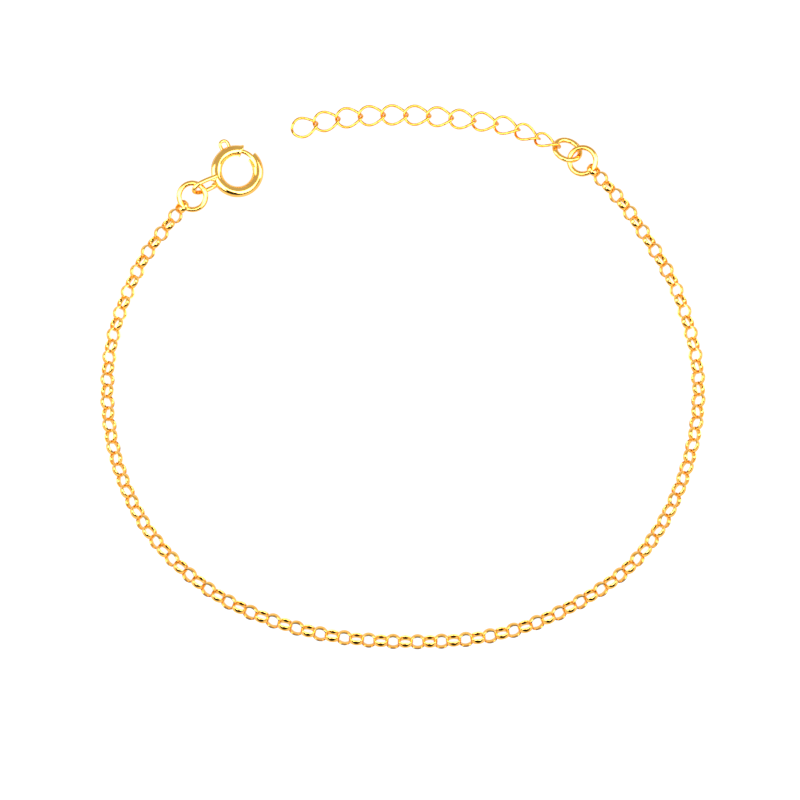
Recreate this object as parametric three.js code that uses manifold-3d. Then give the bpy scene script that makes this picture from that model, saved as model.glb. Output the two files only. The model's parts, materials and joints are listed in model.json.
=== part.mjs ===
// Chain bracelet, open and lying flat: a round-link chain with a spring ring clasp at one end
// and a short extender of twisted oval links at the other. Millimetres, +Z up, floor at z = 0.
import * as THREE from "three";
import * as BufferGeometryUtils from "three/addons/utils/BufferGeometryUtils.js";
import Module from "manifold-3d";

const wasm = await Module();
wasm.setup();

// Main chain: round links made of a band with a domed section
const linkOuter = 1.68;
const bandWall = 0.19;
const bandWidth = 0.57;
const bandDome = 0.1;
const linkBearing = 0.016;
const linkSides = 10;

// Jump rings: the same round wire ring three times
const ringOuter = 3.6;
const ringWire = 0.6;
const ringSteps = 12;
const ringSides = 6;

// Extender: twisted oval wire links
const ovalLength = 3.3;
const ovalWidth = 2.6;
const ovalWire = 0.3;
const ovalTwist = 45;
const ovalSteps = 10;
const ovalSides = 5;
const restSteps = 72;
const restSides = 24;
const extenderCount = 12;
const extenderLeadRoll = 42;
const extenderRollFade = 0.65;

// Spring ring clasp: a hollow wire ring with a mouth, angles run anticlockwise from +X
const claspOuter = 6;
const tubeDiameter = 1.25;
const tubeBore = 0.8;
const mouthStart = 48;
const mouthEnd = 80;
const tubeSteps = 24;
const tubeSides = 10;
const boreSides = 6;
const claspLeanFar = 12;
const claspLeanEyelet = 10;

// Bolt of the clasp with its hairpin trigger
const boltWire = 0.5;
const boltSeat = 3;
const boltTail = 14;
const boltTravel = 38;
const triggerAngle = 119;
const triggerWidth = 1.3;
const triggerWire = 0.38;
const triggerReach = 1;
const slotPlay = 0.06;
const slotSteps = 6;
const boltSides = 8;
const boltSteps = 10;
const triggerSides = 6;
const triggerSteps = 10;
const boreOver = 1;

// Eyelet of the clasp: a wire hairpin soldered on the ring
const eyeletAngle = 208;
const eyeletTurn = 34;
const eyeletReach = 2.71;
const eyeletHeight = 2.1;
const eyeletWire = 0.5;
const eyeletOverlap = 0.4;
const eyeletSink = 0.15;
const eyeletSides = 6;
const eyeletSteps = 12;

// Half of the eyelet's outline, from its foot to its tip, as shares of its reach and half height
const eyeletShape = [
  { out: 0.4, side: 1 },
  { out: 0.72, side: 0.92 },
  { out: 0.93, side: 0.5 },
];

// Play between loose pieces
const linkPlay = 0.06;
const linkRingPlay = 0.16;
const ovalPlay = 0.08;
const ovalRingPlay = 0.14;
const rolledOvalPlay = 0.32;
const hookPlay = 0.45;
const ringPairSpacing = 2.15;
const ringPairRoll = 24;
const chainRingRise = 6;

// Route of the main chain on the floor, from the clasp end to the extender end
const chainRoute = [
  [-24.7, 22.7],
  [-29.4, 15.3],
  [-32.3, 5.1],
  [-31.6, -5.5],
  [-27.4, -15.1],
  [-20.2, -22.0],
  [-11.5, -25.8],
  [-2.2, -27.3],
  [8.9, -26.9],
  [17.8, -23.9],
  [25.9, -18.1],
  [31.1, -9.0],
  [33.1, 1.5],
  [31.2, 12.1],
  [26.4, 21.4],
  [22.0, 27.2],
];

// Turn of the first and last jump ring against the chain's end, and of the extender's start
const claspRingTurn = -16;
const chainRingTurn = 13;
const ringPairTurn = 2;
const extenderTurn = 15;

// Route of the extender, counted from its first link
const extenderRoute = [
  [0, 0],
  [-4.8, 2.1],
  [-10.0, 3.0],
  [-15.2, 3.5],
  [-20.4, 3.45],
  [-25.3, 2.8],
  [-30.3, 1.25],
];

const gold = 0xd9a441;
const up = new THREE.Vector3(0, 0, 1);
const radians = THREE.MathUtils.degToRad;

// Turns a closed geometry into a solid that can be joined and cut
function solid(geometry) {
  const bare = geometry.clone();
  bare.deleteAttribute("normal");
  bare.deleteAttribute("uv");
  const merged = BufferGeometryUtils.mergeVertices(bare, 1e-5);
  const vertProperties = merged.attributes.position.array;
  const triVerts = new Uint32Array(merged.index.array);
  return new wasm.Manifold(new wasm.Mesh({ numProp: 3, vertProperties, triVerts }));
}

// Turns a solid back into a geometry
function geometryOf(body) {
  const mesh = body.getMesh();
  const geometry = new THREE.BufferGeometry();
  geometry.setAttribute("position", new THREE.BufferAttribute(mesh.vertProperties, 3));
  geometry.setIndex(new THREE.BufferAttribute(mesh.triVerts, 1));
  return geometry;
}

function goldMesh(name, geometry, roughness = 0.15) {
  const material = new THREE.MeshStandardMaterial({ color: gold, metalness: 1, roughness });
  const mesh = new THREE.Mesh(geometry, material);
  mesh.name = name;
  return mesh;
}

function flatCurve(points) {
  const curve = new THREE.CatmullRomCurve3(
    points.map(([x, y]) => new THREE.Vector3(x, y, 0)),
    false,
    "catmullrom",
    0.5,
  );
  curve.arcLengthDivisions = 1500;
  return curve;
}

// Point and direction of a route at a distance from its start; past its ends it runs straight on
function routeStation(curve, distance) {
  const length = curve.getLength();
  const at = THREE.MathUtils.clamp(distance / length, 0, 1);
  const along = curve.getTangentAt(at).setZ(0).normalize();
  const point = curve.getPointAt(at).addScaledVector(along, distance - at * length);
  return { point, along };
}

// Unit vector on the floor, turned by an angle from another one
function turned(direction, degrees) {
  return direction.clone().applyAxisAngle(up, radians(degrees));
}

// Lowest point of a geometry in a frame given by its three axes
function lowestIn(geometry, basis) {
  const placed = geometry.clone().applyMatrix4(basis);
  placed.computeBoundingBox();
  return placed.boundingBox.min.z;
}

// A closed wire: a torus whose core circle is moved on to the curve that core(turn) gives
function closedWire(core, wireRadius, sides, steps) {
  const geometry = new THREE.TorusGeometry(1, 0.1, sides, steps);
  const { position, uv } = geometry.attributes;
  const small = 1e-4;
  for (let i = 0; i < position.count; i++) {
    const turn = uv.getX(i) * 2 * Math.PI;
    const around = uv.getY(i) * 2 * Math.PI;
    const centre = core(turn);
    const ahead = core(turn + small).sub(core(turn - small)).normalize();
    const out = centre.clone().addScaledVector(ahead, -centre.dot(ahead)).normalize();
    const side = new THREE.Vector3().crossVectors(out, ahead);
    centre.addScaledVector(out, wireRadius * Math.cos(around));
    centre.addScaledVector(side, wireRadius * Math.sin(around));
    position.setXYZ(i, centre.x, centre.y, centre.z);
  }
  return geometry;
}

// A wire with two flat ends along an open curve
function openWire(curve, wireRadius, sides, steps) {
  const section = new THREE.Shape();
  for (let i = 0; i < sides; i++) {
    const angle = (2 * Math.PI * (i + 0.5)) / sides;
    section[i === 0 ? "moveTo" : "lineTo"](wireRadius * Math.cos(angle), wireRadius * Math.sin(angle));
  }
  section.closePath();
  return new THREE.ExtrudeGeometry(section, { steps, extrudePath: curve, curveSegments: 1 });
}

// An arc round the clasp's middle, from one angle to another
class ClaspArc extends THREE.Curve {
  constructor(radius, from, to) {
    super();
    this.radius = radius;
    this.from = radians(from);
    this.sweep = radians(to - from);
  }

  getPoint(t, target = new THREE.Vector3()) {
    const angle = this.from + this.sweep * t;
    return target.set(this.radius * Math.cos(angle), this.radius * Math.sin(angle), 0);
  }
}

// Main chain
const linkHole = linkOuter / 2 - bandWall;
const linkPitch = 2 * linkHole + linkBearing;
const chainCurve = flatCurve(chainRoute);
const linkCount = Math.floor(chainCurve.getLength() / linkPitch + 0.5) + 1;
const linkRollSign = (index) => (index % 2 === 0 ? -1 : 1);

function linkGeometry() {
  const inner = linkHole / Math.cos(Math.PI / linkSides);
  const outer = linkOuter / 2 / Math.cos(Math.PI / linkSides / 2);
  const half = bandWidth / 2;
  const profile = [
    [inner, 0],
    [inner + bandDome, -half],
    [outer, -half / 2],
    [outer, half / 2],
    [inner + bandDome, half],
    [inner, 0],
  ].map(([radius, height]) => new THREE.Vector2(radius, height));
  return new THREE.LatheGeometry(profile, linkSides, Math.PI / linkSides);
}

function linkFrame(index) {
  const { along } = routeStation(chainCurve, index * linkPitch);
  const side = new THREE.Vector3().crossVectors(up, along);
  const axis = side.addScaledVector(up, linkRollSign(index)).normalize();
  const across = new THREE.Vector3().crossVectors(axis, along);
  return new THREE.Matrix4().makeBasis(across, axis, along);
}

const oneLink = linkGeometry();
const linkHeight = -lowestIn(oneLink, linkFrame(0));

function placedLink(index, nudge) {
  const { point, along } = routeStation(chainCurve, index * linkPitch);
  point.addScaledVector(along, nudge).setZ(linkHeight);
  return oneLink.clone().applyMatrix4(linkFrame(index).setPosition(point));
}

// Fuses the links from one index up to another; nudge moves them along the chain
function chainPiece(from, to, nudge) {
  let body = solid(placedLink(from, nudge));
  for (let index = from + 1; index < to; index++) {
    body = body.add(solid(placedLink(index, nudge)));
  }
  return geometryOf(body);
}

const meeting = Math.ceil(linkCount / 2);
const meetingNudge = (linkBearing + linkPlay) / 2;
const chainLeft = goldMesh("chain_left", chainPiece(0, meeting, meetingNudge));
const chainRight = goldMesh("chain_right", chainPiece(meeting, linkCount, -meetingNudge));

// Jump rings
const ringRadius = (ringOuter - ringWire) / 2;
const linkToWire = linkHole - ringWire / 2 - linkRingPlay;

function jumpRing(name, centre, inward, roll) {
  const geometry = new THREE.TorusGeometry(ringRadius, ringWire / 2, ringSides, ringSteps);
  const flatSide = new THREE.Vector3().crossVectors(up, inward).normalize();
  const normal = new THREE.Vector3().crossVectors(inward, flatSide).applyAxisAngle(inward, -radians(roll));
  const side = new THREE.Vector3().crossVectors(normal, inward);
  const ring = goldMesh(name, geometry);
  ring.quaternion.setFromRotationMatrix(new THREE.Matrix4().makeBasis(inward, side, normal));
  ring.position.copy(centre);
  return ring;
}

// Roll that lets a ring touch the floor with its low side, from its middle's height and its rise
function restingRoll(height, rise) {
  const tilt = Math.asin((height - ringWire / 2) / ringRadius);
  return THREE.MathUtils.radToDeg(Math.acos(Math.cos(tilt) / Math.cos(rise)));
}

// Spring ring clasp, modelled round its own middle and laid down afterwards
const claspRadius = (claspOuter - tubeDiameter) / 2;

function slotCutter() {
  const legHalf = THREE.MathUtils.radToDeg(triggerWidth / 2 / claspRadius);
  const play = THREE.MathUtils.radToDeg(slotPlay / claspRadius);
  const from = radians(triggerAngle - legHalf - play);
  const to = radians(triggerAngle + legHalf + play + boltTravel);
  const sector = new THREE.Shape();
  sector.absarc(0, 0, claspRadius, from, to, false);
  sector.absarc(0, 0, claspOuter / 2 + tubeDiameter, to, from, true);
  const width = triggerWire + 2 * slotPlay;
  const cutter = new THREE.ExtrudeGeometry(sector, {
    depth: width,
    bevelEnabled: false,
    curveSegments: slotSteps,
  });
  return cutter.translate(0, 0, -width / 2);
}

function eyeletCurve() {
  const root = claspOuter / 2 - eyeletOverlap;
  const tip = claspOuter / 2 + eyeletReach - eyeletWire / 2;
  const half = (eyeletHeight - eyeletWire) / 2;
  const foot = tubeDiameter / 2 + eyeletWire / 2 - eyeletSink;
  const side = eyeletShape.map(({ out, side }) => [root + (tip - root) * out, half * side]);
  const upper = [[root, foot], ...side];
  const lower = upper.map(([radius, height]) => [radius, -height]).reverse();
  const points = [...upper, [tip, 0], ...lower];
  return new THREE.CatmullRomCurve3(points.map(([radius, height]) => new THREE.Vector3(radius, 0, height)));
}

function claspRingGeometry() {
  const outside = new ClaspArc(claspRadius, mouthEnd, mouthStart + 360);
  const inside = new ClaspArc(claspRadius, mouthEnd - boreOver, mouthStart + 360 + boreOver);
  const tube = solid(openWire(outside, tubeDiameter / 2, tubeSides, tubeSteps));
  const bore = solid(openWire(inside, tubeBore / 2, boreSides, tubeSteps));
  const eyelet = openWire(eyeletCurve(), eyeletWire / 2, eyeletSides, eyeletSteps);
  eyelet.rotateX(radians(eyeletTurn)).rotateZ(radians(eyeletAngle));
  return geometryOf(tube.add(solid(eyelet)).subtract(bore).subtract(solid(slotCutter())));
}

function triggerCurve() {
  const half = (triggerWidth - triggerWire) / 2;
  const top = claspOuter / 2 + triggerReach - triggerWire / 2;
  const path = new THREE.CurvePath();
  const bend = new THREE.CatmullRomCurve3(
    [90, 45, 0, -45, -90].map((angle) => {
      const out = top - half + half * Math.cos(radians(angle));
      return new THREE.Vector3(out, half * Math.sin(radians(angle)), 0);
    }),
  );
  path.add(new THREE.LineCurve3(new THREE.Vector3(claspRadius, half, 0), bend.points[0]));
  path.add(bend);
  path.add(new THREE.LineCurve3(bend.points[4], new THREE.Vector3(claspRadius, -half, 0)));
  return path;
}

function boltGeometry() {
  const arc = new ClaspArc(claspRadius, mouthStart - boltSeat, triggerAngle + boltTail);
  const wire = solid(openWire(arc, boltWire / 2, boltSides, boltSteps));
  const trigger = openWire(triggerCurve(), triggerWire / 2, triggerSides, triggerSteps);
  trigger.rotateZ(radians(triggerAngle));
  return geometryOf(wire.add(solid(trigger)));
}

// Clasp end: the first link holds a jump ring, which passes through the eyelet
const claspRing = goldMesh("clasp_ring", claspRingGeometry());
const claspBolt = goldMesh("clasp_bolt", boltGeometry());
const claspLean = new THREE.Matrix4()
  .makeRotationX(radians(claspLeanFar))
  .premultiply(new THREE.Matrix4().makeRotationY(radians(claspLeanEyelet)));
const claspHeight = -lowestIn(claspRing.geometry, claspLean);
const hookRadius = claspOuter / 2 + eyeletReach - eyeletWire - ringWire / 2 - hookPlay;
const hook = new THREE.Vector3(
  hookRadius * Math.cos(radians(eyeletAngle)),
  hookRadius * Math.sin(radians(eyeletAngle)),
  0,
).applyMatrix4(claspLean);

const chainStart = routeStation(chainCurve, 0);
const startWire = chainStart.point.clone().addScaledVector(chainStart.along, meetingNudge - linkToWire);
startWire.setZ(linkHeight);
const startRise = (claspHeight + hook.z - linkHeight) / (2 * ringRadius);
const startInward = turned(chainStart.along, 180 + claspRingTurn)
  .multiplyScalar(Math.sqrt(1 - startRise * startRise))
  .setZ(startRise);
const claspSideCentre = startWire.clone().addScaledVector(startInward, ringRadius);
const jumpRingClasp = jumpRing("jump_ring_clasp", claspSideCentre, startInward, -restingRoll(linkHeight, 0));

const clasp = new THREE.Group();
clasp.add(claspRing, claspBolt);
clasp.quaternion.setFromRotationMatrix(claspLean);
clasp.position.copy(startWire).addScaledVector(startInward, 2 * ringRadius).sub(hook);

// Extender end: the last link holds a jump ring, and a second one through it holds the extender
const lastLink = linkCount - 1;
const chainEnd = routeStation(chainCurve, lastLink * linkPitch);
const endWire = chainEnd.point.clone().addScaledVector(chainEnd.along, linkToWire - meetingNudge);
endWire.setZ(linkHeight);
const endSense = -linkRollSign(lastLink);
const endRise = radians(chainRingRise);
const endInward = turned(chainEnd.along, chainRingTurn)
  .multiplyScalar(Math.cos(endRise))
  .setZ(Math.sin(endRise));
const chainSideCentre = endWire.clone().addScaledVector(endInward, ringRadius);
const chainRingRoll = endSense * restingRoll(chainSideCentre.z, endRise);
const jumpRingChain = jumpRing("jump_ring_chain", chainSideCentre, endInward, chainRingRoll);

const pairInward = turned(endInward, ringPairTurn).setZ(0).normalize();
const extenderSideCentre = chainSideCentre.clone().addScaledVector(pairInward, ringPairSpacing);
extenderSideCentre.setZ(ringRadius * Math.sin(radians(ringPairRoll)) + ringWire / 2);
const pairRoll = -endSense * ringPairRoll;
const jumpRingExtender = jumpRing("jump_ring_extender", extenderSideCentre, pairInward, pairRoll);

// Extender links: an oval core line, turned about its long axis in step with its length
const ovalReach = (ovalLength - ovalWire) / 2;
const ovalPitch = ovalLength - 2 * ovalWire - ovalPlay;
const ovalToRing = (ringWire + ovalWire) / 2 + ovalRingPlay;

function ovalCore(turn) {
  const half = (ovalWidth - ovalWire) / 2;
  const twist = -radians(ovalTwist) * Math.cos(turn);
  const across = half * Math.sin(turn);
  return new THREE.Vector3(ovalReach * Math.cos(turn), across * Math.cos(twist), across * Math.sin(twist));
}

const oneOval = closedWire(ovalCore, ovalWire / 2, ovalSides, ovalSteps);

// The same oval in fine steps, for the height that its round wire rests at
const roundOval = closedWire(ovalCore, ovalWire / 2, restSides, restSteps);
const extenderCurve = flatCurve(extenderRoute);
const extenderStart = extenderSideCentre
  .clone()
  .setZ(0)
  .addScaledVector(turned(pairInward, extenderTurn), ringRadius + ovalReach - ovalToRing);

const extenderLinks = Array.from({ length: extenderCount }, (_, index) => {
  const fade = Math.pow(extenderRollFade, index);
  const distance = index * ovalPitch - rolledOvalPlay * (1 - fade);
  const { point, along } = routeStation(extenderCurve, distance);
  const side = new THREE.Vector3().crossVectors(up, along);
  const roll = radians(extenderLeadRoll * fade);
  const basis = new THREE.Matrix4().makeBasis(along, side, up);
  basis.multiply(new THREE.Matrix4().makeRotationX(roll));
  const link = goldMesh(`extender_link_${String(index + 1).padStart(2, "0")}`, oneOval.clone());
  link.quaternion.setFromRotationMatrix(basis);
  link.position.copy(extenderStart).add(point);
  link.position.z = -lowestIn(roundOval, basis);
  return link;
});

// The whole bracelet, with the middle of its outline at the origin
const bracelet = new THREE.Group();
bracelet.add(chainLeft, chainRight, jumpRingClasp, clasp, jumpRingChain, jumpRingExtender, ...extenderLinks);
bracelet.updateMatrixWorld(true);
const outline = new THREE.Box3().setFromObject(bracelet, true);
const middle = outline.getCenter(new THREE.Vector3());
bracelet.position.set(-middle.x, -middle.y, -outline.min.z);

export default bracelet;
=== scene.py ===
"""Chain bracelet, open and lying flat, in polished yellow gold: a chain of round links with a
spring ring clasp at one end and a short extender of twisted oval links at the other. Lengths are
metres, angles radians, +Z up, the floor at z = 0."""

import json

import bpy
import numpy as np
from bpy.props import FloatProperty, FloatVectorProperty, PointerProperty
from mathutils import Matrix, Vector


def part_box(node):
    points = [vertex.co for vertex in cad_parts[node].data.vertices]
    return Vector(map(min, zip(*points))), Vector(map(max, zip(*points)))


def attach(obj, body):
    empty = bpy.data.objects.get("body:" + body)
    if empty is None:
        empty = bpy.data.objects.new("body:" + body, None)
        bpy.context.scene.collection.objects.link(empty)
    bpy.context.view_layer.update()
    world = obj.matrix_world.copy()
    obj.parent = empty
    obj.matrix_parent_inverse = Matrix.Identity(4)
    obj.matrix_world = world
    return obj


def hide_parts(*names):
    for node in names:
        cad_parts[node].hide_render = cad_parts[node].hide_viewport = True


bl_info = {
    "name": "Chain Bracelet",
    "version": (1, 0, 0),
    "blender": (4, 5, 0),
    "location": "View3D > Sidebar > Bracelet",
    "description": "Lays out a gold chain bracelet with a spring ring clasp and an extender",
    "category": "Add Mesh",
}

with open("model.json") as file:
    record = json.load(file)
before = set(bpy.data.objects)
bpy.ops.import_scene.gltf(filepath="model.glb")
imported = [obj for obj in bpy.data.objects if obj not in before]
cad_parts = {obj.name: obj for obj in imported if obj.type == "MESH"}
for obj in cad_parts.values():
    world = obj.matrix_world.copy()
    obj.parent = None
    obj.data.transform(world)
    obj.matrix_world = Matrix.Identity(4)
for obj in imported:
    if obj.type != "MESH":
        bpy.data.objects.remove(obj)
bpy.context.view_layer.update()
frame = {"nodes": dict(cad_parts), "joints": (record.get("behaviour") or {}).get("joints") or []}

# Bodies that the pieces move with
CHAIN_BODY = "bracelet"
BOLT_BODY = "bolt"

# Route of the main chain on the floor, from the clasp end to the extender end
CHAIN_ROUTE = [
    (-0.0247, 0.0227),
    (-0.0294, 0.0153),
    (-0.0323, 0.0051),
    (-0.0316, -0.0055),
    (-0.0274, -0.0151),
    (-0.0202, -0.0220),
    (-0.0115, -0.0258),
    (-0.0022, -0.0273),
    (0.0089, -0.0269),
    (0.0178, -0.0239),
    (0.0259, -0.0181),
    (0.0311, -0.0090),
    (0.0331, 0.0015),
    (0.0312, 0.0121),
    (0.0264, 0.0214),
    (0.0220, 0.0272),
]
ROUTE_STEPS = 1500
TANGENT_STEP = 1e-4

# Play of the chain against itself and its last jump ring, and how that ring leaves the chain
LINK_PLAY = 0.00006
LINK_RING_PLAY = 0.00016
CHAIN_RING_TURN = np.radians(13)
CHAIN_RING_RISE = np.radians(6)

# Numbers of faces round and along each kind of piece
LINK_FACES = (48, 14)
RING_FACES = (120, 28)
OVAL_FACES = (96, 20)
WIRE_FACES = 28

# Numbers of points along the bolt, the trigger's bow, the trigger's slot and the eyelet
BOLT_STEPS = 70
BOW_STEPS = 25
LEG_STEPS = 11
SLOT_STEPS = 24
EYELET_STEPS = 60

# Hairline where a jump ring's ends meet: where it is on each ring, how wide and how deep
RING_SEAMS = {"jump_ring_clasp": 0.6, "jump_ring_chain": 2.1, "jump_ring_extender": 4.4}
RING_SEAM_WIDTH = 0.009
RING_SEAM_DEPTH = 0.16
RING_SEAM_REACH = 0.03
RING_SEAM_STEPS = 13

# Solder joint of an oval link: how much it swells the wire and how far round the link
OVAL_SOLDER_SWELL = 0.07
OVAL_SOLDER_WIDTH = 0.12

# Rounded wire end: the number of its rings and the angle of the smallest one
END_RINGS = 6
END_TIP = 0.12

# The spring ring's tube at its mouth: the rolled lip, the cuff on the left, the slant of the two
# ends, and how fast the slant fades along the tube
LIP_BULGE = 0.00003
CUFF_SWELL = 0.00011
CUFF_START = -0.04
CUFF_LENGTH = 0.16
SLANT_LEFT = np.radians(2)
SLANT_RIGHT = np.radians(1.2)
SLANT_FADE = 0.12

# Seam along the inside of the tube: its depth, its place round the tube, its width, how much it
# opens at the mouth, and how far from the mouth's left and right ends
SEAM_DEPTH = 0.00016
SEAM_AT = np.pi - 0.16
SEAM_WIDTH = 0.02
SEAM_OPENING = 0.16
SEAM_OPEN_LEFT = 0.55
SEAM_OPEN_RIGHT = 0.3

# Points along the tube near an end of its mouth, and along the rest and round it
TUBE_NEAR = np.array([0, 0.004, 0.01, 0.02, 0.032, 0.045, 0.06, 0.08, 0.1])
TUBE_STEPS = 150
BORE_STEPS = 60
TUBE_FACES = 64
SEAM_STEPS = 81

# Bead of solder on an eyelet's foot: its half sizes in eyelet wires, how far it lies out from the
# foot, and how far it lies down towards the tube
BEAD_SHAPE = np.array([0.84, 0.72, 0.48])
BEAD_OUT = 0.0003
BEAD_DOWN = 0.35
BEAD_FACES = (17, 24)
BEAD_TIP = 0.02

# Half of the eyelet's outline from its foot to its tip, as shares of its reach and half height
EYELET_SHAPE = [
    {"out": 0.4, "side": 1.0},
    {"out": 0.72, "side": 0.92},
    {"out": 0.93, "side": 0.5},
]

UP = np.array([0.0, 0.0, 1.0])
FULL = 2 * np.pi


def length(name, default, description):
    """A length that the sidebar shows, in metres."""
    return FloatProperty(
        name=name, default=default, min=0, precision=6, unit="LENGTH", description=description
    )


def angle(name, degrees, description):
    """An angle that the sidebar shows, its default given in degrees."""
    return FloatProperty(
        name=name, default=np.radians(degrees), subtype="ANGLE", description=description
    )


def colour(name, default, description):
    """A linear colour that the sidebar shows."""
    return FloatVectorProperty(
        name=name, default=default, min=0, max=1, subtype="COLOR", description=description
    )


class BraceletSizes(bpy.types.PropertyGroup):
    """Sizes of the bracelet's pieces."""

    link_outer: length("Link Diameter", 0.00168, "Outer diameter of a round chain link")
    link_wall: length("Link Wall", 0.00019, "Thickness of a chain link's band across its ring")
    link_width: length("Link Width", 0.00057, "Width of a chain link's band along its axis")
    link_bearing: length("Link Bearing", 0.000016, "How far each link sinks into the next")
    ring_outer: length("Jump Ring Diameter", 0.0036, "Outer diameter of a jump ring")
    ring_wire: length("Jump Ring Wire", 0.0006, "Wire diameter of a jump ring")
    oval_length: length("Oval Length", 0.0033, "Length of an extender link")
    oval_width: length("Oval Width", 0.0026, "Width of an extender link before its twist")
    oval_wire: length("Oval Wire", 0.0003, "Wire diameter of an extender link")
    oval_twist: angle("Oval Twist", 45, "Twist of an extender link at each of its ends")
    clasp_outer: length("Clasp Diameter", 0.006, "Outer diameter of the spring ring")
    tube: length("Clasp Tube", 0.00125, "Outer diameter of the spring ring's tube")
    tube_bore: length("Clasp Bore", 0.0008, "Inner diameter of the spring ring's tube")
    mouth_start: angle("Mouth Start", 48, "Where the tube ends, anticlockwise from the clasp's +X")
    mouth_end: angle("Mouth End", 80, "Where the tube begins again")
    bolt_wire: length("Bolt Wire", 0.0005, "Wire diameter of the sliding bolt")
    bolt_seat: angle("Bolt Seat", 3, "How far the closed bolt reaches into the tube's far end")
    bolt_tail: angle("Bolt Tail", 14, "How far the bolt runs on past its trigger")
    bolt_travel: angle("Bolt Travel", 38, "How far the trigger draws the bolt back")
    trigger_at: angle("Trigger Place", 119, "Where the trigger stands on the closed clasp")
    trigger_width: length("Trigger Width", 0.0013, "Outer width of the trigger's hairpin")
    trigger_wire: length("Trigger Wire", 0.00038, "Wire diameter of the trigger")
    trigger_reach: length("Trigger Reach", 0.001, "How far the trigger stands out of the tube")
    slot_play: length("Slot Play", 0.00006, "Gap between the trigger's legs and their slot")
    eyelet_at: angle("Eyelet Place", 208, "Where the eyelet is soldered on the tube")
    eyelet_turn: angle("Eyelet Turn", 34, "How far the eyelet is turned about its long axis")
    eyelet_reach: length("Eyelet Reach", 0.00271, "How far the eyelet stands out of the tube")
    eyelet_height: length("Eyelet Height", 0.0021, "Outer height of the eyelet")
    eyelet_wire: length("Eyelet Wire", 0.0005, "Wire diameter of the eyelet")
    eyelet_overlap: length("Eyelet Overlap", 0.0004, "How far the eyelet's feet lie over the tube")
    eyelet_sink: length("Eyelet Sink", 0.00015, "How far the eyelet's feet sink into the solder")


class BraceletColours(bpy.types.PropertyGroup):
    """Colours of the bracelet's metal and its stage."""

    gold: colour("Gold", (0.92, 0.54, 0.125), "Colour of the polished gold")
    # Deep gold is the colour of worn gold, and on the extender also the colour of its painted shade
    deep_gold: colour("Deep Gold", (0.78, 0.36, 0.05), "Colour of the gold where it is worn")
    floor: colour("Floor", (0.08, 0.08, 0.08), "Colour of the floor")


def sizes():
    """The bracelet's sizes as they are set in this scene."""
    return bpy.context.scene.bracelet_sizes


def colours():
    """The bracelet's colours as they are set in this scene."""
    return bpy.context.scene.bracelet_colours


def unit(vectors):
    """Vectors scaled to length one."""
    return vectors / np.linalg.norm(vectors, axis=-1, keepdims=True)


def turned(vector, by, axis=UP):
    """A vector turned about a unit axis: v cos t + (a x v) sin t + a (a . v) (1 - cos t)."""
    along = axis * (vector @ axis)
    return vector * np.cos(by) + np.cross(axis, vector) * np.sin(by) + along * (1 - np.cos(by))


class Route:
    """A smooth line through a few points, measured by its own length."""

    def __init__(self, points, power=0.0):
        """power is 0 for even knots and 0.5 for knots spaced by the root of the distance."""
        inner = np.array(points, float)
        ends = 2 * inner[[0, -1]] - inner[[1, -2]]
        self.points = np.vstack([ends[:1], inner, ends[1:]])
        self.knots = np.linalg.norm(np.diff(self.points, axis=0), axis=1)[:, None] ** power
        self.shares = np.linspace(0, 1, ROUTE_STEPS + 1)
        chords = np.linalg.norm(np.diff(self.place(self.shares), axis=0), axis=1)
        self.lengths = np.concatenate([[0], np.cumsum(chords)])
        self.length = self.lengths[-1]

    def place(self, shares):
        """Catmull-Rom: between points b and c, the cubic that leaves b along m and meets c along n,
        b + m t + (3c - 3b - 2m - n) t^2 + (2b - 2c + m + n) t^3."""
        spans = len(self.points) - 3
        at = np.clip(shares, 0, 1) * spans
        index = np.minimum(at.astype(int), spans - 1)
        t = (at - index)[:, None]
        a, b, c, d = (self.points[index + k] for k in range(4))
        before, here, after = (self.knots[index + k] for k in range(3))
        m = here * ((b - a) / before - (c - a) / (before + here)) + c - b
        n = here * ((d - c) / after - (d - b) / (here + after)) + c - b
        return b + m * t + (3 * c - 3 * b - 2 * m - n) * t**2 + (2 * b - 2 * c + m + n) * t**3

    def station(self, distance):
        """Point and direction at each distance; past its ends the route runs straight on."""
        inside = np.clip(distance, 0, self.length)
        shares = np.interp(inside, self.lengths, self.shares)
        ahead = self.place(shares + TANGENT_STEP) - self.place(shares - TANGENT_STEP)
        along = unit(ahead)
        return self.place(shares) + along * (distance - inside)[:, None], along


def grid_faces(rows, columns, rows_close=True, columns_close=True):
    """Quads of a grid of points, row after row, that point out where rows x columns points out."""
    row = np.arange(rows if rows_close else rows - 1)[:, None]
    column = np.arange(columns if columns_close else columns - 1)[None, :]
    next_row = (row + 1) % rows * columns
    next_column = (column + 1) % columns
    here = row * columns
    corners = [here + column, next_row + column, next_row + next_column, here + next_column]
    return np.stack(np.broadcast_arrays(*corners), -1).reshape(-1, 4)


def grid_uv(rows, columns, rows_close=True, columns_close=True):
    """UV of the same quads' corners: the share of the way along the rows and round the columns."""
    row = np.arange(rows if rows_close else rows - 1)[:, None, None]
    column = np.arange(columns if columns_close else columns - 1)[None, :, None]
    u = (row + np.array([0, 1, 1, 0])) / rows
    v = (column + np.array([0, 0, 1, 1])) / columns
    return np.stack(np.broadcast_arrays(u, v), -1).reshape(-1, 2)


def mesh_of(name, points, faces, uv, caps=()):
    """A mesh from an array of points, quads with their UV, and caps as lists of points."""
    mesh = bpy.data.meshes.new(name)
    mesh.from_pydata(points.reshape(-1, 3), [], [*faces.tolist(), *caps])
    layer = mesh.uv_layers.new(name="drawn_wire")
    corners = np.zeros((len(mesh.loops), 2), np.float32)
    corners[: len(uv)] = uv
    layer.data.foreach_set("uv", corners.ravel())
    mesh.validate()
    mesh.update()
    return mesh


def closed_surface(name, points):
    """A mesh of a grid of points that closes both ways, like a ring's surface."""
    rows, columns = points.shape[:2]
    return mesh_of(name, points, grid_faces(rows, columns), grid_uv(rows, columns))


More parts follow.
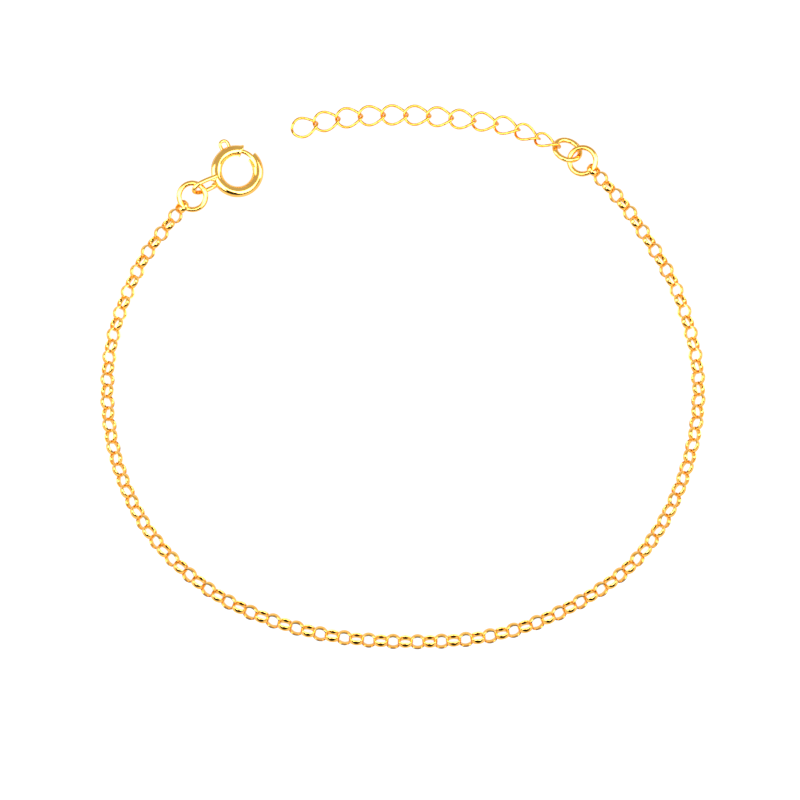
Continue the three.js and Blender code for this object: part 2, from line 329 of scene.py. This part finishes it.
def capped_surface(name, points):
    """A mesh of a grid of points that closes round its columns and has a cap at each end."""
    rows, columns = points.shape[:2]
    first = list(range(columns))
    last = list(range((rows - 1) * columns, rows * columns))[::-1]
    faces = grid_faces(rows, columns, rows_close=False)
    return mesh_of(name, points, faces, grid_uv(rows, columns, rows_close=False), [first, last])


def many(name, surfaces):
    """One mesh of many equal closed surfaces, given as an array of grids."""
    count, rows, columns = surfaces.shape[:3]
    faces = grid_faces(rows, columns)
    step = np.arange(count)[:, None, None] * rows * columns
    faces = (faces[None] + step).reshape(-1, 4)
    return mesh_of(name, surfaces, faces, np.tile(grid_uv(rows, columns), (count, 1)))


def shown(name, mesh):
    """An object of a mesh, in the scene."""
    piece = bpy.data.objects.new(name, mesh)
    bpy.context.scene.collection.objects.link(piece)
    return piece


def fused(name, base, *tools, operation="UNION"):
    """The mesh of a solid joined with, or cut by, other solids."""
    piece = shown(name, base)
    helpers = [shown(f"{name}_tool", tool) for tool in tools]
    for helper in helpers:
        modifier = piece.modifiers.new("join", "BOOLEAN")
        modifier.solver = "MANIFOLD"
        modifier.operation = operation
        modifier.object = helper
    evaluated = piece.evaluated_get(bpy.context.evaluated_depsgraph_get())
    mesh = bpy.data.meshes.new_from_object(evaluated)
    for used in (piece, *helpers):
        spent = used.data
        bpy.data.objects.remove(used)
        bpy.data.meshes.remove(spent)
    mesh.name = name
    return mesh


def finished(name, mesh, body, finish, nodes, crease=38):
    """The piece of a mesh, smooth up to its creases, riding on its body in place of its nodes."""
    mesh.name = name
    mesh.shade_smooth()
    mesh.set_sharp_from_angle(angle=np.radians(crease))
    mesh.materials.clear()
    mesh.materials.append(finish)
    piece = shown(name, mesh)
    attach(piece, body)
    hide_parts(*nodes)
    return piece


def node_axes(node):
    """Middle and axes of a solid with mirror-like halves: its longest first, its shortest last."""
    mesh = frame["nodes"][node].data
    flat = np.zeros(len(mesh.vertices) * 3, np.float32)
    mesh.vertices.foreach_get("co", flat)
    corners = np.unique(np.round(flat.reshape(-1, 3), 7), axis=0).astype(float)
    middle = corners.mean(axis=0)
    axes = np.linalg.svd(corners - middle, full_matrices=False)[2]
    axes[2] *= np.sign(axes[2, 2]) or 1
    axes[1] = np.cross(axes[2], axes[0])
    return middle, axes


class Number:
    """A number in a node tree: an expression on it adds its Math nodes."""

    def __init__(self, tree, socket):
        self.tree = tree
        self.socket = socket

    def math(self, operation, *values):
        return self.tree.node("ShaderNodeMath", {"operation": operation}, dict(enumerate(values)))

    def __add__(self, other):
        return self.math("ADD", self, other)

    def __sub__(self, other):
        return self.math("SUBTRACT", self, other)

    def __rsub__(self, other):
        return self.math("SUBTRACT", other, self)

    def __mul__(self, other):
        return self.math("MULTIPLY", self, other)

    def above(self, edge, soft):
        """A mask that rises from 0 to 1 as the number passes an edge, over twice a soft width."""
        values = {"Value": self, "From Min": edge - soft, "From Max": edge + soft}
        return self.tree.node("ShaderNodeMapRange", {"interpolation_type": "SMOOTHSTEP"}, values)

    __radd__ = __add__
    __rmul__ = __mul__


class Tree:
    """The node tree of a material or a world, with one method that adds nodes."""

    def __init__(self, owner):
        owner.use_nodes = True
        self.nodes = owner.node_tree.nodes
        self.links = owner.node_tree.links
        self.nodes.clear()

    def node(self, kind, settings=None, values=None, output=0):
        """Adds a node: its settings first, then the values or links of its sockets."""
        made = self.nodes.new(kind)
        for name, setting in (settings or {}).items():
            setattr(made, name, setting)
        for name, value in (values or {}).items():
            if isinstance(value, Number):
                self.links.new(value.socket, made.inputs[name])
            else:
                made.inputs[name].default_value = value
        return Number(self, made.outputs[output] if made.outputs else None)


def polished_gold(name, cloud_size, line_count, roughness, depth=0.0):
    """Polished gold: cloudy from pale to deep, with drawn lines along the wire, small pits and
    hair scratches. line_count is how many drawn lines there are round the wire, and depth is how
    much deep gold there is everywhere. A high depth is painted shade: the same gold made deeper
    to stand for how thin wires look under the lights."""
    material = bpy.data.materials.new(name)
    tree = Tree(material)
    place = tree.node("ShaderNodeTexCoord", output="Object")
    along = tree.node("ShaderNodeUVMap", {"uv_map": "drawn_wire"})
    clouds = tree.node(
        "ShaderNodeTexNoise",
        {},
        {"Vector": place, "Scale": 1 / cloud_size, "Detail": 3.0, "Roughness": 0.55},
    )
    grain = tree.node(
        "ShaderNodeTexNoise",
        {},
        {"Vector": place, "Scale": 14 / cloud_size, "Detail": 4.0, "Roughness": 0.6},
    )
    stretched = tree.node(
        "ShaderNodeMapping",
        {},
        {"Vector": along, "Scale": (2.0, line_count, 1.0)},
    )
    lines = tree.node(
        "ShaderNodeTexNoise",
        {},
        {"Vector": stretched, "Scale": 1.0, "Detail": 5.0, "Roughness": 0.65},
    )
    scratch_place = tree.node(
        "ShaderNodeTexNoise",
        {},
        {"Vector": place, "Scale": 6 / cloud_size, "Detail": 1.0},
        output="Color",
    )
    bent = tree.node(
        "ShaderNodeVectorMath",
        {"operation": "MULTIPLY_ADD"},
        {0: scratch_place, 1: (cloud_size, cloud_size, cloud_size), 2: place},
    )
    scratches = tree.node(
        "ShaderNodeTexVoronoi",
        {"feature": "DISTANCE_TO_EDGE"},
        {"Vector": bent, "Scale": 2.2 / cloud_size},
    )
    hairs = 1 - scratches.above(0.012, 0.01)
    worn = clouds.above(0.56, 0.2)
    tone = tree.node(
        # Deep gold comes in by the cloudy wear and by depth; where depth is high it is painted
        # shade
        "ShaderNodeMix",
        {"data_type": "RGBA", "clamp_factor": True},
        {0: worn * 0.55 + depth, 6: (*colours().gold, 1.0), 7: (*colours().deep_gold, 1.0)},
        output=2,
    )
    relief = lines * 0.5 + grain * 0.3 - hairs * 0.25
    bump = tree.node(
        "ShaderNodeBump",
        {},
        {"Strength": 0.25, "Distance": 0.000004, "Height": relief},
    )
    shader = tree.node(
        "ShaderNodeBsdfPrincipled",
        {},
        {
            "Base Color": tone,
            "Metallic": 1.0,
            "Roughness": roughness + worn * 0.05 + hairs * 0.06 + (grain - 0.5) * 0.06,
            "Normal": bump,
        },
    )
    tree.node("ShaderNodeOutputMaterial", {}, {"Surface": shader})
    return material


def squared(wave, power=0.6):
    """A cosine or sine made squarer, so that an ellipse's section becomes a rounded bar's."""
    return np.sign(wave) * np.abs(wave) ** power


def chain_links(indices, nudge):
    """Surfaces of some round links. Each is a ring round its own axis with a rounded band, C and
    S being the squared cosine and sine:
    middle + (r + w C) (cos a along + sin a across) + h S axis."""
    s = sizes()
    hole = s.link_outer / 2 - s.link_wall
    pitch = 2 * hole + s.link_bearing
    route = Route(CHAIN_ROUTE)
    point, along = route.station(indices * pitch)
    middle = np.column_stack([point + along * nudge + chart_shift(route), link_height(indices)])
    along = np.column_stack([along, np.zeros(len(along))])
    sign = np.where(indices % 2 == 0, -1.0, 1.0)[:, None]
    axis = unit(np.cross(UP, along) + sign * UP)
    across = np.cross(axis, along)
    a = (np.arange(LINK_FACES[0]) * FULL / LINK_FACES[0])[:, None]
    b = (np.arange(LINK_FACES[1]) * FULL / LINK_FACES[1])[None, :]
    reach = hole + s.link_wall / 2 * (1 + squared(np.cos(b)))
    rise = s.link_width / 2 * squared(np.sin(b))
    terms = (
        (reach * np.cos(a), along),
        (reach * np.sin(a), across),
        (rise + 0 * a, axis),
    )
    surface = sum(share[None, :, :, None] * way[:, None, None, :] for share, way in terms)
    return middle[:, None, None, :] + surface


def link_height(indices):
    """Height of the links' middles: as high as the chain's solid, halved."""
    low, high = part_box("chain_left")
    return np.full(len(indices), (low.z + high.z) / 2)


def chain_end(route):
    """The last link's index, and where its end of the chain and its direction are."""
    s = sizes()
    pitch = 2 * (s.link_outer / 2 - s.link_wall) + s.link_bearing
    last = int(route.length / pitch + 0.5)
    point, along = route.station(np.array([last * pitch]))
    return last, point[0], along[0]


def chart_shift(route):
    """Step from the route's own origin to the frame's: the last jump ring shows it, which stands
    at the chain's end, turned and raised a little."""
    s = sizes()
    point, along = chain_end(route)[1:]
    to_wire = s.link_outer / 2 - s.link_wall - s.ring_wire / 2 - LINK_RING_PLAY
    radius = (s.ring_outer - s.ring_wire) / 2
    nudge = (s.link_bearing + LINK_PLAY) / 2
    inward = turned(np.array([*along, 0.0]), CHAIN_RING_TURN)[:2] * np.cos(CHAIN_RING_RISE)
    charted = point + along * (to_wire - nudge) + inward * radius
    return node_axes("jump_ring_chain")[0][:2] - charted


class BRACELET_OT_chain(bpy.types.Operator):
    """Lay the chain of round links in its two halves"""

    bl_idname = "bracelet.chain"
    bl_label = "Lay Chain"

    def execute(self, context):
        s = sizes()
        count = chain_end(Route(CHAIN_ROUTE))[0] + 1
        meeting = (count + 1) // 2
        nudge = (s.link_bearing + LINK_PLAY) / 2
        finish = polished_gold(
            "chain_gold_finish", cloud_size=0.0011, line_count=26, roughness=0.06, depth=0.25
        )
        halves = (
            ("round_links_left", "chain_left", np.arange(meeting), nudge),
            ("round_links_right", "chain_right", np.arange(meeting, count), -nudge),
        )
        for name, node, indices, shift in halves:
            links = [chain_links(indices[start::2], shift) for start in (0, 1)]
            even, odd = (many(name, surfaces) for surfaces in links)
            finished(name, fused(name, even, odd), CHAIN_BODY, finish, [node])
        return {"FINISHED"}


def wire_ring(middle, normal, radius, wire, seam_at):
    """Surface of a round wire ring with a hairline where its two ends meet:
    middle + (r + w cos b) (cos a x + sin a y) + w sin b normal, w narrowing at the hairline."""
    side = unit(np.cross(UP, normal))
    other = np.cross(normal, side)
    fine = seam_at + np.linspace(-RING_SEAM_REACH, RING_SEAM_REACH, RING_SEAM_STEPS)
    coarse = seam_at + np.linspace(0, FULL, RING_FACES[0] + 1)[1:-1]
    a = np.sort(np.concatenate([fine, coarse]))[:, None, None]
    b = (np.arange(RING_FACES[1]) * FULL / RING_FACES[1])[None, :, None]
    groove = np.exp(-(((a - seam_at) / RING_SEAM_WIDTH) ** 2))
    width = wire * (1 - RING_SEAM_DEPTH * groove)
    reach = radius + width * np.cos(b)
    return middle + reach * (np.cos(a) * side + np.sin(a) * other) + width * np.sin(b) * normal


class BRACELET_OT_jump_rings(bpy.types.Operator):
    """Close the three jump rings round what they hold"""

    bl_idname = "bracelet.jump_rings"
    bl_label = "Close Jump Rings"

    def execute(self, context):
        s = sizes()
        radius = (s.ring_outer - s.ring_wire) / 2
        finish = polished_gold(
            "ring_gold_finish", cloud_size=0.0019, line_count=34, roughness=0.075, depth=0.25
        )
        for node, seam_at in RING_SEAMS.items():
            name = node.replace("jump_ring", "wire_ring")
            middle, axes = node_axes(node)
            surface = wire_ring(middle, axes[2], radius, s.ring_wire / 2, seam_at)
            finished(name, closed_surface(name, surface), CHAIN_BODY, finish, [node])
        return {"FINISHED"}


def twisted_oval(middle, axes):
    """Surface of an oval link whose core (p cos t, q sin t cos w, q sin t sin w) turns about its
    long axis by w = -twist cos t; a round wire follows the core."""
    s = sizes()
    long_half = (s.oval_length - s.oval_wire) / 2
    wide_half = (s.oval_width - s.oval_wire) / 2

    def core(t):
        turn = -s.oval_twist * np.cos(t)
        out = wide_half * np.sin(t)
        return np.column_stack([long_half * np.cos(t), out * np.cos(turn), out * np.sin(turn)])

    t = np.arange(OVAL_FACES[0]) * FULL / OVAL_FACES[0]
    around = (np.arange(OVAL_FACES[1]) * FULL / OVAL_FACES[1])[None, :, None]
    centre = core(t)
    ahead = unit(core(t + TANGENT_STEP) - core(t - TANGENT_STEP))
    out = unit(centre - ahead * np.sum(centre * ahead, axis=1, keepdims=True))
    side = np.cross(out, ahead)
    solder = np.exp(-(((t - np.pi / 2) / OVAL_SOLDER_WIDTH) ** 2))
    radius = (s.oval_wire / 2 * (1 + OVAL_SOLDER_SWELL * solder))[:, None, None]
    ring = np.cos(around) * out[:, None] + np.sin(around) * side[:, None]
    return middle + (centre[:, None] + radius * ring)[:, ::-1] @ axes


class BRACELET_OT_extender(bpy.types.Operator):
    """Twist the oval links of the extender"""

    bl_idname = "bracelet.extender"
    bl_label = "Twist Extender Links"

    def execute(self, context):
        # Painted shade: depth 0.9 makes the extender's gold deeper than the same gold elsewhere, to
        # stand for how its thin wires look under the lights
        finish = polished_gold(
            "extender_gold_painted_shade", cloud_size=0.0014, line_count=22, roughness=0.14, depth=0.9
        )
        for node in sorted(n for n in frame["nodes"] if n.startswith("extender_link_")):
            name = node.replace("extender_link", "oval_link")
            mesh = closed_surface(name, twisted_oval(*node_axes(node)))
            finished(name, mesh, CHAIN_BODY, finish, [node])
        return {"FINISHED"}


def clasp_axes():
    """Middle and axes of the spring ring: its normal is the bolt's axis, its X runs along the
    floor's X seen from above."""
    joint = frame["joints"][0]
    normal = unit(np.array(joint["axis"], float))
    level = unit(np.cross([0.0, 1.0, 0.0], normal))
    return np.array(joint["pos_m"], float), np.array([level, np.cross(normal, level), normal])


def laid(points):
    """Points given round the spring ring's middle, moved to where it lies."""
    middle, axes = clasp_axes()
    return middle + points @ axes


def wire(path, level, radius, round_ends=True):
    """Surface of a round wire along a path in a plane: path + r (cos b out + sin b level), with
    out = ahead x level. At a round end r falls along a quarter circle."""
    ahead = unit(np.gradient(path, axis=0))
    out = unit(np.cross(ahead, level))
    radii = np.full(len(path), radius)
    if round_ends:
        bend = np.linspace(END_TIP, np.pi / 2, END_RINGS + 1)[:-1]
        first = path[0] - ahead[0] * radius * np.cos(bend)[:, None]
        last = (path[-1] + ahead[-1] * radius * np.cos(bend)[:, None])[::-1]
        path = np.vstack([first, path, last])
        out = np.vstack([out[:1].repeat(END_RINGS, 0), out, out[-1:].repeat(END_RINGS, 0)])
        radii = np.concatenate([radius * np.sin(bend), radii, radius * np.sin(bend)[::-1]])
    b = (np.arange(WIRE_FACES) * FULL / WIRE_FACES)[None, :, None]
    ring = np.cos(b) * out[:, None] + np.sin(b) * np.array(level)
    return (path[:, None] + radii[:, None, None] * ring)[:, ::-1]


def arc(radius, start, end, steps):
    """Points of an arc round the spring ring's middle."""
    a = np.linspace(start, end, steps)
    return np.column_stack([radius * np.cos(a), radius * np.sin(a), np.zeros(steps)])


def about_middle(points, by):
    """Points turned round the spring ring's middle."""
    spin = np.array([[np.cos(by), np.sin(by), 0], [-np.sin(by), np.cos(by), 0], [0, 0, 1]])
    return points @ spin


def at_eyelet(points):
    """Points given along the eyelet's own axis, turned about it and moved to its place."""
    s = sizes()
    cos, sin = np.cos(s.eyelet_turn), np.sin(s.eyelet_turn)
    return about_middle(points @ np.array([[1, 0, 0], [0, cos, sin], [0, -sin, cos]]), s.eyelet_at)


def rolled_tube():
    """Surface of the spring ring's tube, its wall closed over both ends of the mouth. The outer
    wall swells to a cuff at the mouth's left end, and a seam runs along the inside of the ring,
    which opens towards the mouth: r = wall - depth / (1 + ((b - seam) / width)^6). Both ends
    are cut aslant: a = way + slant e^(-distance / fade) cos b."""
    s = sizes()
    core = (s.clasp_outer - s.tube) / 2
    outer, bore = s.tube / 2, s.tube_bore / 2
    start, end = s.mouth_end, s.mouth_start + FULL
    sweep = end - start
    between = np.linspace(0.12, sweep - 0.1, TUBE_STEPS)
    ways = np.concatenate([TUBE_NEAR, between, sweep - TUBE_NEAR[::-1]])
    bend = np.linspace(0, np.pi, 11)[1:-1]
    middle, half = (outer + bore) / 2, (outer - bore) / 2
    lip_way = LIP_BULGE / core * np.sin(bend) ** 0.5
    lip_radius = middle + half * squared(np.cos(bend))
    back = np.linspace(sweep, 0, BORE_STEPS)
    way = np.concatenate([ways, sweep + lip_way, back, -lip_way[::-1]])
    outside, inside = np.full(len(ways), outer), np.full(BORE_STEPS, bore)
    radius = np.concatenate([outside, lip_radius, inside, lip_radius[::-1]])
    on_wall = np.clip((radius - bore) / (outer - bore), 0, 1)
    swell = np.sin(np.pi * np.clip((way - CUFF_START) / CUFF_LENGTH, 0, 1)) ** 2
    radius = radius + CUFF_SWELL * swell * on_wall
    coarse = np.linspace(0, FULL, TUBE_FACES + 1)[:-1]
    fine = np.pi + np.linspace(-0.5, 0.3, SEAM_STEPS)
    b = np.unique(np.round(np.concatenate([coarse, fine]), 4))[None, :]
    open_left = np.exp(-way / SEAM_OPEN_LEFT)
    open_right = np.exp(-(sweep - way) / SEAM_OPEN_RIGHT)
    width = SEAM_WIDTH + SEAM_OPENING * np.maximum(open_left, open_right)
    groove = 1 / (1 + ((b - SEAM_AT) / width[:, None]) ** 6)
    radius = radius[:, None] - SEAM_DEPTH * groove * on_wall[:, None]
    slant_right = SLANT_RIGHT * np.exp((way - sweep) / SLANT_FADE)
    slant_left = SLANT_LEFT * np.exp(-way / SLANT_FADE)
    angle_at = (start + way)[:, None] + (slant_right - slant_left)[:, None] * np.cos(b)
    reach = core + radius * np.cos(b)
    return np.stack(
        [reach * np.cos(angle_at), reach * np.sin(angle_at), radius * np.sin(b) + 0 * angle_at], -1
    )


def trigger_path():
    """The trigger's hairpin: up one leg, round half a circle and down the other leg."""
    s = sizes()
    core = (s.clasp_outer - s.tube) / 2
    half = (s.trigger_width - s.trigger_wire) / 2
    top = s.clasp_outer / 2 + s.trigger_reach - s.trigger_wire / 2
    legs = np.linspace(core, top - half, LEG_STEPS + 1)[:-1]
    a = np.linspace(np.pi / 2, -np.pi / 2, BOW_STEPS)
    reach = np.concatenate([legs, top - half + half * np.cos(a), legs[::-1]])
    leg_side = np.full(LEG_STEPS, half)
    side = np.concatenate([leg_side, half * np.sin(a), -leg_side])
    return about_middle(np.column_stack([reach, side, 0 * side]), s.trigger_at)


def eyelet_path():
    """The eyelet's hairpin, its feet over and under the tube and its bow turned."""
    s = sizes()
    root = s.clasp_outer / 2 - s.eyelet_overlap
    tip = s.clasp_outer / 2 + s.eyelet_reach - s.eyelet_wire / 2
    half = (s.eyelet_height - s.eyelet_wire) / 2
    foot = s.tube / 2 + s.eyelet_wire / 2 - s.eyelet_sink
    shape = [(root + (tip - root) * row["out"], half * row["side"]) for row in EYELET_SHAPE]
    upper = [(root, foot), *shape]
    lower = [(reach, -height) for reach, height in reversed(upper)]
    route = Route([(reach, 0, height) for reach, height in [*upper, (tip, 0), *lower]], power=0.5)
    path = route.station(np.linspace(0, route.length, EYELET_STEPS))[0]
    return at_eyelet(path)


def trigger_slot():
    """Surface of what is cut out of the tube for the trigger's legs: a bent bar along the
    trigger's whole way, open to the outside."""
    s = sizes()
    core = (s.clasp_outer - s.tube) / 2
    half_leg = (s.trigger_width / 2 + s.slot_play) / core
    start = s.trigger_at - half_leg
    end = s.trigger_at + half_leg + s.bolt_travel
    half_width = s.trigger_wire / 2 + s.slot_play
    b = np.arange(32) * FULL / 32
    reach = core + s.tube * (1 + squared(np.cos(b), 0.3)) / 2
    height = half_width * squared(np.sin(b), 0.3)
    a = np.linspace(start, end, SLOT_STEPS)[:, None]
    return np.stack([reach * np.cos(a), reach * np.sin(a), height + 0 * a], -1)[:, ::-1]


def solder_beads():
    """Surfaces of the two beads of solder over the eyelet's feet, each a flattened ball."""
    s = sizes()
    root = s.clasp_outer / 2 - s.eyelet_overlap
    foot = s.tube / 2 + s.eyelet_wire / 2 - s.eyelet_sink
    a = np.linspace(BEAD_TIP, np.pi - BEAD_TIP, BEAD_FACES[0])[:, None]
    b = (np.arange(BEAD_FACES[1]) * FULL / BEAD_FACES[1])[None, :]
    ball = np.stack([np.sin(a) * np.cos(b), np.sin(a) * np.sin(b), np.cos(a) + 0 * b], -1)
    bead = ball * BEAD_SHAPE * s.eyelet_wire
    height = foot - s.eyelet_wire * BEAD_DOWN
    return [at_eyelet(bead + np.array([root + BEAD_OUT, 0, side * height])) for side in (1, -1)]


class BRACELET_OT_clasp(bpy.types.Operator):
    """Roll the spring ring's tube, cut its slot and solder on its eyelet"""

    bl_idname = "bracelet.clasp"
    bl_label = "Roll Spring Ring"

    def execute(self, context):
        s = sizes()
        name = "spring_ring"
        tube = closed_surface(name, laid(rolled_tube()))
        slot = capped_surface("slot", laid(trigger_slot()))
        path = eyelet_path()
        level = at_eyelet(np.array([0.0, 1.0, 0.0]))
        eyelet = capped_surface("eyelet", laid(wire(path, level, s.eyelet_wire / 2)))
        beads = [capped_surface("solder", laid(bead)) for bead in solder_beads()]
        cut = fused(name, tube, slot, operation="DIFFERENCE")
        joined = fused(name, cut, eyelet, *beads)
        finish = polished_gold(
            "clasp_gold_finish", cloud_size=0.0026, line_count=60, roughness=0.06
        )
        finished(name, joined, CHAIN_BODY, finish, ["clasp_ring"], crease=50)
        return {"FINISHED"}


class BRACELET_OT_bolt(bpy.types.Operator):
    """Bend the clasp's bolt and its trigger"""

    bl_idname = "bracelet.bolt"
    bl_label = "Bend Bolt"

    def execute(self, context):
        s = sizes()
        name = "bolt_and_trigger"
        core = (s.clasp_outer - s.tube) / 2
        end = s.trigger_at + s.bolt_tail
        bolt_path = arc(core, s.mouth_start - s.bolt_seat, end, BOLT_STEPS)
        bolt = capped_surface(name, laid(wire(bolt_path, UP, s.bolt_wire / 2, round_ends=False)))
        hairpin = wire(trigger_path(), UP, s.trigger_wire / 2, round_ends=False)
        trigger = capped_surface("trigger", laid(hairpin))
        finish = polished_gold(
            "bolt_gold_finish", cloud_size=0.0016, line_count=30, roughness=0.08
        )
        joined = fused(name, bolt, trigger)
        finished(name, joined, BOLT_BODY, finish, ["clasp_bolt"], crease=50)
        return {"FINISHED"}


# Camera, as the photograph was taken
CAMERA_RISE = np.radians(73)
CAMERA_DISTANCE = 0.2775
CAMERA_LENS = 112.5
CAMERA_SENSOR = 36.0
FLOOR_SIZE = 3.0
FLOOR_GLOW = 0.88
TENT_RADIANCE = 0.68

# Softboxes: where each one's middle is, its two sides and how bright its face is
SOFTBOXES = [
    {"name": "left", "place": (-0.46, 0.04, 0.26), "sides": (0.2, 0.5), "radiance": 7.5},
    {"name": "right", "place": (0.46, 0.04, 0.29), "sides": (0.2, 0.5), "radiance": 7.5},
    {"name": "front", "place": (0.0, -0.25, 0.4), "sides": (1.0, 0.4), "radiance": 7.5},
]

# Dark card that stands round the bracelet's front, for the black in the gold's reflections: low
# at its ends and tall in the middle
CARD_RADIUS = 0.12
CARD_FROM = np.radians(215)
CARD_TO = np.radians(325)
CARD_BOTTOM = 0.006
CARD_END_TOP = 0.04
CARD_MIDDLE_TOP = 0.24
CARD_MIDDLE = np.radians(264)
CARD_MIDDLE_HALF = np.radians(20)
CARD_STEPS = 45


def softbox(name, place, sides, radiance):
    """A soft rectangular light that faces the bracelet: power = pi x area x radiance."""
    light = bpy.data.lights.new(f"softbox_{name}", "AREA")
    light.shape = "RECTANGLE"
    light.size, light.size_y = sides
    light.energy = np.pi * sides[0] * sides[1] * radiance
    holder = bpy.data.objects.new(light.name, light)
    holder.location = place
    holder.rotation_mode = "QUATERNION"
    holder.rotation_quaternion = (-Vector(place)).to_track_quat("-Z", "Y")
    bpy.context.scene.collection.objects.link(holder)


def tent_world():
    """The even pale tent round the stage."""
    world = bpy.data.worlds.new("tent")
    bpy.context.scene.world = world
    tree = Tree(world)
    light = tree.node(
        "ShaderNodeBackground", {}, {"Color": (1, 1, 1, 1), "Strength": TENT_RADIANCE}
    )
    tree.node("ShaderNodeOutputWorld", {}, {"Surface": light})


def dark_card():
    """The dark card: it shows only in the gold, and neither shades the floor nor hides a view. Its
    top is low + (tall - low) / (1 + ((a - middle) / half)^8) over its way a round the front."""
    a = np.linspace(CARD_FROM, CARD_TO, CARD_STEPS)
    share = 1 / (1 + ((a - CARD_MIDDLE) / CARD_MIDDLE_HALF) ** 8)
    top = CARD_END_TOP + (CARD_MIDDLE_TOP - CARD_END_TOP) * share
    x, y = CARD_RADIUS * np.cos(a), CARD_RADIUS * np.sin(a)
    points = np.stack([np.stack([x, y, height], -1) for height in (0 * a + CARD_BOTTOM, top)])
    mesh = bpy.data.meshes.new("dark_card")
    faces = grid_faces(2, CARD_STEPS, rows_close=False, columns_close=False)
    mesh.from_pydata(points.reshape(-1, 3), [], faces.tolist())
    material = bpy.data.materials.new("card_finish")
    tree = Tree(material)
    cloth = tree.node(
        "ShaderNodeBsdfPrincipled", {}, {"Base Color": (0.004, 0.004, 0.004, 1.0), "Roughness": 0.9}
    )
    tree.node("ShaderNodeOutputMaterial", {}, {"Surface": cloth})
    mesh.materials.append(material)
    card = shown("dark_card", mesh)
    card.visible_camera = False
    card.visible_diffuse = False
    card.visible_shadow = False


def floor_finish():
    """The floor's smooth pale board, lit from below, with a faint unevenness in its gloss."""
    material = bpy.data.materials.new("floor_finish")
    tree = Tree(material)
    place = tree.node("ShaderNodeTexCoord", output="Object")
    clouds = tree.node("ShaderNodeTexNoise", {}, {"Vector": place, "Scale": 9.0, "Detail": 2.0})
    shader = tree.node(
        "ShaderNodeBsdfPrincipled",
        {},
        {
            "Base Color": (*colours().floor, 1.0),
            "Roughness": clouds * 0.05 + 0.4,
            "Specular IOR Level": 0.1,
            "Emission Color": (1.0, 1.0, 1.0, 1.0),
            "Emission Strength": FLOOR_GLOW,
        },
    )
    tree.node("ShaderNodeOutputMaterial", {}, {"Surface": shader})
    return material


class BRACELET_OT_stage(bpy.types.Operator):
    """Set the pale floor, the tent with its softboxes and the camera"""

    bl_idname = "bracelet.stage"
    bl_label = "Set Stage"

    def execute(self, context):
        half = FLOOR_SIZE / 2
        corners = np.array([(-half, -half, 0), (half, -half, 0), (half, half, 0), (-half, half, 0)])
        mesh = bpy.data.meshes.new("floor")
        mesh.from_pydata(corners, [], [(0, 1, 2, 3)])
        mesh.materials.append(floor_finish())
        shown("floor", mesh)
        tent_world()
        dark_card()
        for row in SOFTBOXES:
            softbox(**row)
        context.scene.view_settings.view_transform = "Standard"
        data = bpy.data.cameras.new("camera")
        data.lens = CAMERA_LENS
        data.sensor_width = CAMERA_SENSOR
        data.clip_start = CAMERA_DISTANCE / 20
        camera = bpy.data.objects.new("camera", data)
        aim = Vector((*chart_shift(Route(CHAIN_ROUTE)), 0.0))
        back = Vector((0.0, -np.cos(CAMERA_RISE), np.sin(CAMERA_RISE)))
        camera.location = aim + back * CAMERA_DISTANCE
        camera.rotation_mode = "QUATERNION"
        camera.rotation_quaternion = (-back).to_track_quat("-Z", "Y")
        context.scene.collection.objects.link(camera)
        context.scene.camera = camera
        return {"FINISHED"}


OPERATORS = (
    BRACELET_OT_stage,
    BRACELET_OT_chain,
    BRACELET_OT_jump_rings,
    BRACELET_OT_extender,
    BRACELET_OT_clasp,
    BRACELET_OT_bolt,
)


class BRACELET_PT_panel(bpy.types.Panel):
    """Sizes, colours and steps of the bracelet in the 3D view's sidebar."""

    bl_label = "Chain Bracelet"
    bl_idname = "BRACELET_PT_panel"
    bl_space_type = "VIEW_3D"
    bl_region_type = "UI"
    bl_category = "Bracelet"

    def draw(self, context):
        for operator in OPERATORS:
            self.layout.operator(operator.bl_idname)
        for group in (context.scene.bracelet_sizes, context.scene.bracelet_colours):
            column = self.layout.column()
            for name in group.__annotations__:
                column.prop(group, name)


CLASSES = (BraceletSizes, BraceletColours, *OPERATORS, BRACELET_PT_panel)


def register():
    for cls in CLASSES:
        bpy.utils.register_class(cls)
    bpy.types.Scene.bracelet_sizes = PointerProperty(type=BraceletSizes)
    bpy.types.Scene.bracelet_colours = PointerProperty(type=BraceletColours)


def unregister():
    del bpy.types.Scene.bracelet_colours
    del bpy.types.Scene.bracelet_sizes
    for cls in reversed(CLASSES):
        bpy.utils.unregister_class(cls)


def main():
    register()
    for operator in OPERATORS:
        group, step = operator.bl_idname.split(".")
        getattr(getattr(bpy.ops, group), step)()


if __name__ == "__main__":
    main()
